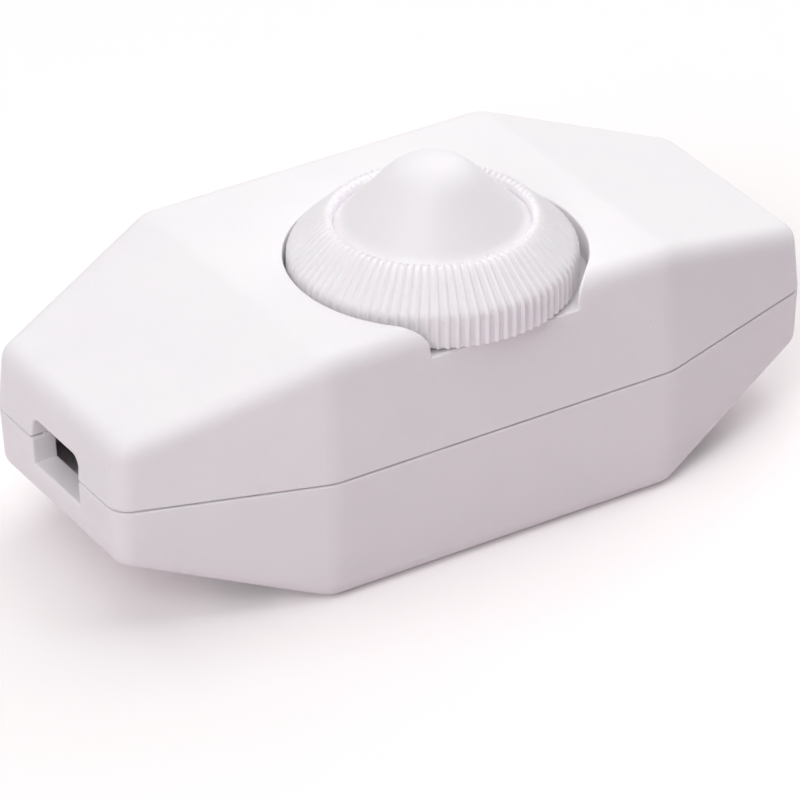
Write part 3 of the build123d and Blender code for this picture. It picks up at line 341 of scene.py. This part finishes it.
FINISHES = {
    "housing_plastic": moulded_plastic("satin_moulded_abs", "F6F3F5", "F4F1F4", 0.5,
                                       specks=True, scatter=0.6, depth=0.7),
    "dial_plastic": moulded_plastic("smooth_moulded_abs", "F8F4F8", "F6F2F6", 0.48,
                                    grain=0.5, relief=0.008, scatter=0.7, depth=0.9),
    "clamp_plastic": moulded_plastic("moulded_nylon_bar", "F0EDEC", "E9E5E2", 0.5),
    "terminal_plastic": moulded_plastic("moulded_polyamide_block", "E2E0DA", "D6D3CB", 0.42,
                                        grain=0.5),
    "shaft_plastic": moulded_plastic("turned_acetal_shaft", "E8E4DA", "DFDACD", 0.34,
                                     grain=0.4, relief=0.01),
    "rotor_plastic": moulded_plastic("moulded_nylon_rotor", "EEEADE", "E4DFD0", 0.44),
    "switch_plastic": sintered("black_phenolic_moulding", "272525", "3A3736", 0.38),
    "epoxy_black": sintered("moulded_epoxy_package", "1B1B1D", "2B2B2D", 0.5),
    "ferrite": sintered("fired_ferrite", "353436", "565458", 0.55),
    "case_phenolic": paper_laminate("brown_phenolic_case", "3F2C22", "5A4032"),
    "board_laminate": paper_laminate("phenolic_paper_board", "B98F4E", "CBA566"),
    "track_board": carbon_track(),
    "screw_steel": bare_metal("zinc_plated_steel", "C3C5CA", "AEB0B2", 0.3),
    "bushing_metal": bare_metal("nickel_plated_zinc", "CBC8BF", "B9B5AB", 0.26),
    "nut_steel": bare_metal("nickel_plated_steel_nut", "BFBFC1", "A9A9AA", 0.3),
    "contact_brass": bare_metal("rolled_brass_strip", "D0AE5C", "B08D42", 0.28, stretch=(12, 1, 1)),
    "sink_aluminium": bare_metal("mill_finish_aluminium", "CDCFD2", "BABCBF", 0.36,
                                 stretch=(1, 14, 1)),
    "lead_metal": bare_metal("tinned_copper_lead", "CFCDC8", "B7B4AD", 0.24),
    "winding_copper": enamelled_wire(),
    "capacitor_box": moulded_plastic("red_polyester_box", "C0392E", "A93027", 0.34, grain=0.4),
    "capacitor_small": moulded_plastic("ochre_dipped_box", "D59F3F", "C48E33", 0.3, grain=0.6),
    "resistor_body": banded_lacquer(),
    "diac_body": moulded_plastic("blue_lacquered_diode", "2E4E90", "263F78", 0.22, grain=0.6),
    "fuse_glass": drawn_glass(),
}

slots = {part["node"]: part["material_slot"] for part in frame["record"]["subparts"]}
for name, obj in frame["nodes"].items():
    obj.data.materials.clear()
    obj.data.materials.append(FINISHES[slots[name]])


# Geometry Nodes helpers

# Edges between faces that meet at more degrees than this stay sharp
SHARP_ANGLE = 38


def new_tree(name, inputs):
    """A geometry tree with named inputs; gives the inputs' identifiers and the tree's sockets."""
    tree = bpy.data.node_groups.new(name, "GeometryNodeTree")
    identifiers = {}
    for label, kind in inputs.items():
        socket = tree.interface.new_socket(label, in_out="INPUT", socket_type="NodeSocket" + kind)
        identifiers[label] = socket.identifier
    tree.interface.new_socket("Geometry", in_out="OUTPUT", socket_type="NodeSocketGeometry")
    return tree, identifiers, add(tree, "NodeGroupInput").outputs


def finish_piece(name, tree, values, source, body, node):
    """Runs the tree on the source mesh, keeps the plain result, hangs it on its body and hides the
    solid node.
    """
    holder = bpy.data.objects.new(name + "_source", source)
    modifier = holder.modifiers.new("shape", "NODES")
    modifier.node_group = tree
    for identifier, value in values.items():
        modifier[identifier] = value
    bpy.context.collection.objects.link(holder)
    graph = bpy.context.evaluated_depsgraph_get()
    mesh = bpy.data.meshes.new_from_object(holder.evaluated_get(graph))
    bpy.data.objects.remove(holder)
    mesh.name = name
    mesh.shade_smooth()
    mesh.set_sharp_from_angle(angle=radians(SHARP_ANGLE))
    piece = bpy.data.objects.new(name, mesh)
    bpy.context.collection.objects.link(piece)
    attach(piece, body)
    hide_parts(node)


# The dial: one profile, drawn from the socket's middle round to the top of the dome. Heights count
# from DIAL_Z, the level of the solid's foot. The shares are of the ribs' full height, apart from
# CREST_SHARE, which is half a crest's width as a share of the pitch.

DIAL_Z = 25.9
DIAL_RADIUS = 15.25
DIAL_WALL = 3.35
DIAL_FOOT = -0.35
FOOT_EDGE = 0.25
RIM_ROUND = 1.6
SKIRT_ANGLE = 43.5
SKIRT_END = 0.15
RING_OUTER = 11.2
RING_INNER = 10.4
RING_HEIGHT = 1.3
CONE_ANGLE = 47.0
DOME_RADIUS = 6.8
RIB_COUNT = 90
RIB_HEIGHT = 0.36
FOOT_SHARE = 0.8
SKIRT_SHARE = 0.5
CREST_SHARE = 0.3
SHELL = 1.5
INNER_WALL = 13.35
HUB_RADIUS = 5.0
HUB_Z = 2.4
HUB_ROOT = 2.0
SOCKET_RADIUS = 3.02
SOCKET_FLAT = 2.22
SOCKET_TOP = 9.02
SOCKET_TOLERANCE = 0.01
WELD_DISTANCE = 0.002

# Over the raised ring: radius, height over the ring's outer edge, and the ribs' height out and up
RING_CROWN = (
    (RING_OUTER, -0.01, 0.3, 0.6),
    (RING_OUTER - 0.2, 0.1, 0.1, 0.8),
    (RING_OUTER - 0.4, 0.1, 0.0, 0.8),
    (RING_INNER + 0.2, 0.0, 0.0, 0.8),
    (RING_INNER + 0.05, -0.16, 0.0, 0.6),
    (RING_INNER, -0.36, 0.0, 0.3),
)
# In the groove at the cone's foot: how far in from the ring, and how far over the groove's bottom
GROOVE_TURN = ((0.0, 0.15), (0.08, 0.08))
CONE_START = (0.1, 0.107)

WALL_STEPS = 3
RIM_STEPS = 7
SKIRT_STEPS = 6
CONE_STEPS = 7
DOME_STEPS = 9
FACETS_PER_RIB = 14


def arc(centre_r, centre_z, radius, start, end, steps):
    """Points of an arc and their outward directions, angles in degrees from the radius."""
    turns = [radians(start + (end - start) * i / steps) for i in range(steps + 1)]
    return [(centre_r + radius * cos(t), centre_z + radius * sin(t), cos(t), sin(t)) for t in turns]


def run(start, end, steps, stand):
    """Points of a straight run without its first one, with the direction in which ribs stand."""
    return [(start[0] + (end[0] - start[0]) * i / steps,
             start[1] + (end[1] - start[1]) * i / steps, *stand) for i in range(1, steps + 1)]


def dial_profile():
    """Profile points as radius, height and the direction of the ribs' height, zero where smooth."""
    slope = tan(radians(SKIRT_ANGLE))
    ring_z = DIAL_WALL + (DIAL_RADIUS - RING_OUTER) * slope
    groove_z = ring_z - RING_HEIGHT
    dome_r = DOME_RADIUS * sin(radians(CONE_ANGLE))
    cone_top = groove_z + (RING_INNER - dome_r) * tan(radians(CONE_ANGLE))
    dome_z = cone_top - DOME_RADIUS * cos(radians(CONE_ANGLE))
    shell_z = ring_z - SHELL / cos(radians(SKIRT_ANGLE)) - RIB_HEIGHT
    inner_z = shell_z - (INNER_WALL - RING_OUTER) * slope

    # The socket, the hub and the underside
    smooth = [(0.0, SOCKET_TOP), (SOCKET_RADIUS, SOCKET_TOP), (SOCKET_RADIUS, HUB_Z),
              (HUB_RADIUS, HUB_Z), (HUB_RADIUS, groove_z + HUB_ROOT),
              (RING_INNER, groove_z - SHELL), (RING_OUTER, shell_z), (INNER_WALL, inner_z),
              (INNER_WALL, DIAL_FOOT), (DIAL_RADIUS - FOOT_EDGE - RIB_HEIGHT, DIAL_FOOT)]
    points = [(r, z, 0.0, 0.0) for r, z in smooth]

    # The ribbed wall, rim and skirt
    wall_z = DIAL_FOOT + FOOT_EDGE
    points += [(DIAL_RADIUS - FOOT_EDGE, DIAL_FOOT, FOOT_SHARE, 0.0),
               (DIAL_RADIUS, wall_z, 1.0, 0.0)]
    bend_z = DIAL_WALL - RIM_ROUND * tan(radians((90 - SKIRT_ANGLE) / 2))
    points += run((DIAL_RADIUS, wall_z), (DIAL_RADIUS, bend_z), WALL_STEPS, (1.0, 0.0))
    rim = arc(DIAL_RADIUS - RIM_ROUND, bend_z, RIM_ROUND, 0, 90 - SKIRT_ANGLE, RIM_STEPS)
    for step, (r, z, out, up) in enumerate(rim[1:], 1):
        share = 1 - (1 - SKIRT_SHARE) * step / RIM_STEPS
        points.append((r, z, out * share, up * share))
    skirt = (sin(radians(SKIRT_ANGLE)) * SKIRT_SHARE, cos(radians(SKIRT_ANGLE)) * SKIRT_SHARE)
    skirt_end = (RING_OUTER + SKIRT_END, ring_z - SKIRT_END * slope)
    points += run(points[-1][:2], skirt_end, SKIRT_STEPS, skirt)

    # The ring, the groove, the smooth cone and its dome
    points += [(r, ring_z + over, out, up) for r, over, out, up in RING_CROWN]
    points += [(RING_INNER - inward, groove_z + over, 0.0, 0.0) for inward, over in GROOVE_TURN]
    cone_start = (RING_INNER - CONE_START[0], groove_z + CONE_START[1])
    points += run(cone_start, (dome_r, cone_top), CONE_STEPS, (0.0, 0.0))
    dome = arc(0, dome_z, DOME_RADIUS, 90 - CONE_ANGLE, 90, DOME_STEPS)
    points += [(r, z, 0.0, 0.0) for r, z, *_ in dome[1:-1]]
    points.append((0.0, dome_z + DOME_RADIUS, 0.0, 0.0))
    return points


def profile_mesh(points):
    """The profile as loose vertices in X and Z that carry the ribs' direction."""
    mesh = bpy.data.meshes.new("dial_profile")
    mesh.from_pydata([(r * MM, 0, z * MM) for r, z, *_ in points], [], [])
    stand = mesh.attributes.new("rib_direction", "FLOAT_VECTOR", "POINT")
    directions = [c for _, _, out, up in points for c in (out, 0.0, up)]
    stand.data.foreach_set("vector", directions)
    return mesh


def ribbed_turning():
    """One pitch between two rib crests is bent out of a grid, then repeated round the axis."""
    tree, identifiers, given = new_tree("ribbed_turning", {
        "Profile": "Geometry", "Profile Points": "Int", "Rib Count": "Int", "Rib Height": "Float",
        "Facets per Rib": "Int", "Socket Radius": "Float", "Socket Flat": "Float",
        "Seat": "Vector", "Material": "Material"})
    place = add(tree, "GeometryNodeInputPosition")

    # The grid's rows become profile points, its columns steps from crest to crest. It is one unit
    # wide about its middle, so half a unit more makes its places shares of the pitch and profile.
    across = add(tree, "ShaderNodeMath", {0: given["Facets per Rib"], 1: 1}, operation="ADD")
    grid = add(tree, "GeometryNodeMeshGrid", {
        "Vertices X": across, "Vertices Y": given["Profile Points"]})
    flat = add(tree, "ShaderNodeSeparateXYZ", {0: place}).outputs
    share = add(tree, "ShaderNodeMath", {0: flat["X"], 1: 0.5}, operation="ADD")
    last_row = add(tree, "ShaderNodeMath", {0: given["Profile Points"], 1: 1},
                   operation="SUBTRACT")
    up_grid = add(tree, "ShaderNodeMath", {0: flat["Y"], 1: 0.5}, operation="ADD")
    exact_row = add(tree, "ShaderNodeMath", {0: up_grid, 1: last_row}, operation="MULTIPLY")
    row = add(tree, "ShaderNodeMath", {0: exact_row}, operation="ROUND")
    on_profile = add(tree, "GeometryNodeSampleIndex", {
        "Geometry": given["Profile"], "Value": place, "Index": row}, data_type="FLOAT_VECTOR")
    stored = add(tree, "GeometryNodeInputNamedAttribute", {"Name": "rib_direction"},
                 data_type="FLOAT_VECTOR")
    stand = add(tree, "GeometryNodeSampleIndex", {
        "Geometry": given["Profile"], "Value": stored, "Index": row}, data_type="FLOAT_VECTOR")

    # Narrow rounded crests stand between wide hollows
    from_middle = add(tree, "ShaderNodeMath", {0: flat["X"]}, operation="ABSOLUTE")
    from_crest = add(tree, "ShaderNodeMath", {0: 0.5, 1: from_middle}, operation="SUBTRACT")
    fall = add(tree, "ShaderNodeMapRange", {"Value": from_crest, "From Max": CREST_SHARE},
               interpolation_type="SMOOTHSTEP")
    depth = add(tree, "ShaderNodeMath", {0: fall, 1: given["Rib Height"]}, operation="MULTIPLY")
    sink = add(tree, "ShaderNodeVectorMath", {0: stand, "Scale": depth}, operation="SCALE")
    cut = add(tree, "ShaderNodeVectorMath", {0: on_profile, 1: sink}, operation="SUBTRACT")
    pitch = add(tree, "ShaderNodeMath", {0: 2 * pi, 1: given["Rib Count"]}, operation="DIVIDE")
    angle = add(tree, "ShaderNodeMath", {0: share, 1: pitch}, operation="MULTIPLY")
    turned = add(tree, "ShaderNodeVectorRotate", {"Vector": cut, "Angle": angle},
                 rotation_type="Z_AXIS")
    bent = add(tree, "GeometryNodeSetPosition", {"Geometry": grid, "Position": turned})

    # The pitches go round the axis and are welded into one surface
    spots = add(tree, "GeometryNodeMeshLine", {"Count": given["Rib Count"], "Offset": (0, 0, 0)})
    index = add(tree, "GeometryNodeInputIndex")
    step = add(tree, "ShaderNodeMath", {0: index, 1: pitch}, operation="MULTIPLY")
    spin = add(tree, "ShaderNodeCombineXYZ", {"Z": step})
    around = add(tree, "GeometryNodeInstanceOnPoints", {
        "Points": spots, "Instance": bent, "Rotation": spin})
    pieces = add(tree, "GeometryNodeRealizeInstances", {0: around})
    whole = add(tree, "GeometryNodeMergeByDistance", {
        "Geometry": pieces, "Distance": WELD_DISTANCE * MM})

    # The socket's flat: its round wall is pushed back to a plane
    here = add(tree, "ShaderNodeSeparateXYZ", {0: place}).outputs
    level = add(tree, "ShaderNodeVectorMath", {0: place, 1: (1, 1, 0)}, operation="MULTIPLY")
    reach = add(tree, "ShaderNodeVectorMath", {0: level}, operation="LENGTH").outputs["Value"]
    on_socket = add(tree, "ShaderNodeMath", {
        0: reach, 1: given["Socket Radius"], 2: SOCKET_TOLERANCE * MM}, operation="COMPARE")
    cut_x = add(tree, "ShaderNodeMath", {0: here["X"], 1: given["Socket Flat"]},
                operation="MINIMUM")
    d_place = add(tree, "ShaderNodeCombineXYZ", {"X": cut_x, "Y": here["Y"], "Z": here["Z"]})
    keyed = add(tree, "GeometryNodeSetPosition", {
        "Geometry": whole, "Selection": on_socket, "Position": d_place})
    seated = add(tree, "GeometryNodeTransform", {"Geometry": keyed, "Translation": given["Seat"]})
    dressed = add(tree, "GeometryNodeSetMaterial", {
        "Geometry": seated, "Material": given["Material"]})
    add(tree, "NodeGroupOutput", {0: dressed})
    return tree, identifiers


def make_dial():
    """The dial on its shaft, in place of the solid one."""
    points = dial_profile()
    tree, inputs = ribbed_turning()
    values = {
        inputs["Profile Points"]: len(points),
        inputs["Rib Count"]: RIB_COUNT,
        inputs["Rib Height"]: RIB_HEIGHT * MM,
        inputs["Facets per Rib"]: FACETS_PER_RIB,
        inputs["Socket Radius"]: SOCKET_RADIUS * MM,
        inputs["Socket Flat"]: SOCKET_FLAT * MM,
        inputs["Seat"]: (0, DIAL_Y * MM, DIAL_Z * MM),
        inputs["Material"]: FINISHES[slots["dial_knob"]],
    }
    finish_piece("fluted_dial", tree, values, profile_mesh(points), "dial", "dial_knob")


make_dial()


# The choke's winding: one visible layer of wire, turn beside turn, over the layers beneath

CHOKE_PLACE = (-15.8, -7.4)
WINDING_RADIUS = 5.4
WINDING_INNER = 3.06
WIRE_RADIUS = 0.24
SLEEVE_DEPTH = 1.2 * WIRE_RADIUS
TURN_STEPS = 36
WIRE_FACETS = 10
SLEEVE_FACETS = 72


def wound_wire():
    """A helix of round wire over a plain sleeve that stands for the hidden layers."""
    tree, identifiers, given = new_tree("wound_wire", {
        "Turns": "Float", "Height": "Float", "Coil Radius": "Float", "Wire Radius": "Float",
        "Sleeve Middle": "Float", "Sleeve Thickness": "Float", "Sleeve Height": "Float",
        "Seat": "Vector", "Material": "Material"})
    helix = add(tree, "GeometryNodeCurveSpiral", {
        "Resolution": TURN_STEPS, "Rotations": given["Turns"],
        "Start Radius": given["Coil Radius"], "End Radius": given["Coil Radius"],
        "Height": given["Height"]})
    section = add(tree, "GeometryNodeCurvePrimitiveCircle", {
        "Resolution": WIRE_FACETS, "Radius": given["Wire Radius"]})
    wire = add(tree, "GeometryNodeCurveToMesh", {
        "Curve": helix, "Profile Curve": section, "Fill Caps": True})
    lift = add(tree, "ShaderNodeCombineXYZ", {"Z": given["Wire Radius"]})
    wire = add(tree, "GeometryNodeTransform", {"Geometry": wire, "Translation": lift})
    ring = add(tree, "GeometryNodeCurvePrimitiveCircle", {
        "Resolution": SLEEVE_FACETS, "Radius": given["Sleeve Middle"]})
    wall = add(tree, "GeometryNodeCurvePrimitiveQuadrilateral", {
        "Width": given["Sleeve Thickness"], "Height": given["Sleeve Height"]})
    sleeve = add(tree, "GeometryNodeCurveToMesh", {"Curve": ring, "Profile Curve": wall})
    half = add(tree, "ShaderNodeMath", {0: given["Sleeve Height"], 1: 0.5}, operation="MULTIPLY")
    centre = add(tree, "ShaderNodeCombineXYZ", {"Z": half})
    sleeve = add(tree, "GeometryNodeTransform", {"Geometry": sleeve, "Translation": centre})

    # Join's one socket takes both pieces, so the second link is made here
    both = add(tree, "GeometryNodeJoinGeometry", {0: wire})
    tree.links.new(sleeve.outputs[0], both.inputs[0])
    seated = add(tree, "GeometryNodeTransform", {"Geometry": both, "Translation": given["Seat"]})
    pieces = add(tree, "GeometryNodeRealizeInstances", {0: seated})
    dressed = add(tree, "GeometryNodeSetMaterial", {
        "Geometry": pieces, "Material": given["Material"]})
    add(tree, "NodeGroupOutput", {0: dressed})
    return tree, identifiers


def make_winding():
    """As many whole turns as the bobbin has room for, in place of the solid winding."""
    low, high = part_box("choke_winding")
    height = high[2] - low[2]
    turns = int(height / (2 * WIRE_RADIUS * MM)) - 1
    sleeve_outer = WINDING_RADIUS - SLEEVE_DEPTH
    tree, inputs = wound_wire()
    values = {
        inputs["Turns"]: float(turns),
        inputs["Height"]: height - 2 * WIRE_RADIUS * MM,
        inputs["Coil Radius"]: (WINDING_RADIUS - WIRE_RADIUS) * MM,
        inputs["Wire Radius"]: WIRE_RADIUS * MM,
        inputs["Sleeve Middle"]: (sleeve_outer + WINDING_INNER) / 2 * MM,
        inputs["Sleeve Thickness"]: (sleeve_outer - WINDING_INNER) * MM,
        inputs["Sleeve Height"]: height,
        inputs["Seat"]: (CHOKE_PLACE[0] * MM, CHOKE_PLACE[1] * MM, low[2]),
        inputs["Material"]: FINISHES[slots["choke_winding"]],
    }
    finish_piece("wound_copper_wire", tree, values, bpy.data.meshes.new("winding_start"),
                 "housing", "choke_winding")


make_winding()


# Camera, where the photograph was taken from

CAMERA_AZIMUTH = -31.33
CAMERA_ELEVATION = 31.13
CAMERA_ROLL = -0.81
CAMERA_LENS = 262.7
CAMERA_SENSOR = 36.0
CAMERA_DISTANCE = 616.0 * MM
CAMERA_TARGET = Vector((-2.09, -2.29, 9.46)) * MM


def add_camera():
    """A long lens that looks down on the part from its left front, with the photograph's tilt."""
    azimuth = radians(CAMERA_AZIMUTH)
    elevation = radians(CAMERA_ELEVATION)
    roll = radians(CAMERA_ROLL)
    back = Vector((sin(azimuth) * cos(elevation), -cos(azimuth) * cos(elevation), sin(elevation)))
    level = (-back).cross(Vector((0, 0, 1))).normalized()
    upright = back.cross(level)
    right = level * cos(roll) + upright * sin(roll)
    up = upright * cos(roll) - level * sin(roll)
    data = bpy.data.cameras.new("photo_camera")
    data.lens = CAMERA_LENS
    data.sensor_width = CAMERA_SENSOR
    camera = bpy.data.objects.new("photo_camera", data)
    bpy.context.collection.objects.link(camera)
    turn = Matrix((right, up, back)).transposed().to_4x4()
    camera.matrix_world = Matrix.Translation(CAMERA_TARGET + back * CAMERA_DISTANCE) @ turn
    bpy.context.scene.camera = camera


# Studio: soft lamps, white floor and white surroundings. Each lamp has its power in watts, and its
# width and place in metres.

LAMPS = {
    "overhead_softbox": (7.4, 1.3, (0.0, 0.1, 1.4)),
    "back_softbox": (2.0, 1.0, (0.2, 0.9, 1.0)),
    "left_front_softbox": (8.1, 0.9, (-0.85, -0.5, 0.85)),
    "right_back_softbox": (4.6, 0.9, (0.95, 0.45, 0.8)),
    "right_high_softbox": (2.6, 0.9, (0.6, -0.15, 1.25)),
}
AMBIENT = 0.075
AMBIENT_COLOUR = "FFF6FB"
SHOWN_COLOUR = "FFFFFF"
FLOOR_GLOW = 0.1
FLOOR_WHITE = "FCF8F8"
FLOOR_BOUNCE = "EBDFE5"
FLOOR_REACH = 3.0


def add_lamps():
    """Square softboxes, aimed at the part."""
    for name, (energy, size, place) in LAMPS.items():
        data = bpy.data.lights.new(name, "AREA")
        data.energy = energy
        data.size = size
        lamp = bpy.data.objects.new(name, data)
        bpy.context.collection.objects.link(lamp)
        lamp.location = place
        lamp.rotation_euler = (-Vector(place)).to_track_quat("-Z", "Y").to_euler()


def seen_rays(tree):
    """One for a ray that the camera sees directly, by a reflection or through glass, else zero."""
    path = add(tree, "ShaderNodeLightPath").outputs
    direct = add(tree, "ShaderNodeMath", {0: path["Is Camera Ray"], 1: path["Is Glossy Ray"]},
                 operation="MAXIMUM")
    return add(tree, "ShaderNodeMath", {0: direct, 1: path["Is Transmission Ray"]},
               operation="MAXIMUM")


def add_floor():
    """Paper that shows white, but throws back less light on the part than white paper would."""
    mesh = bpy.data.meshes.new("studio_floor")
    signs = ((-1, -1), (1, -1), (1, 1), (-1, 1))
    corners = [(x * FLOOR_REACH, y * FLOOR_REACH, 0) for x, y in signs]
    mesh.from_pydata(corners, [], [(0, 1, 2, 3)])
    floor = bpy.data.objects.new("studio_floor", mesh)
    bpy.context.collection.objects.link(floor)
    material, tree, _ = start_material("white_paper_sweep")
    seen = seen_rays(tree)
    tone = add(tree, "ShaderNodeMix", {
        MIX_SHARE: seen, MIX_FROM: linear(FLOOR_BOUNCE), MIX_TO: linear(FLOOR_WHITE)},
        data_type="RGBA")
    paper = add(tree, "ShaderNodeBsdfDiffuse", {"Color": tone.outputs[MIX_RESULT]})
    strength = add(tree, "ShaderNodeMath", {0: seen, 1: FLOOR_GLOW}, operation="MULTIPLY")
    glow = add(tree, "ShaderNodeEmission", {"Strength": strength})
    end_material(tree, add(tree, "ShaderNodeAddShader", {0: paper, 1: glow}))
    mesh.materials.append(material)


def add_world():
    """Faint surroundings light the part, and plain white shows behind it."""
    world = bpy.data.worlds.new("white_studio")
    bpy.context.scene.world = world
    world.use_nodes = True
    tree = world.node_tree
    tree.nodes.clear()
    ambient = add(tree, "ShaderNodeBackground", {
        "Color": linear(AMBIENT_COLOUR), "Strength": AMBIENT})
    shown = add(tree, "ShaderNodeBackground", {"Color": linear(SHOWN_COLOUR), "Strength": 1.0})
    mix = add(tree, "ShaderNodeMixShader", {0: seen_rays(tree), 1: ambient, 2: shown})
    add(tree, "ShaderNodeOutputWorld", {"Surface": mix})


add_camera()
add_floor()
add_world()
add_lamps()
bpy.context.scene.view_settings.view_transform = "Standard"
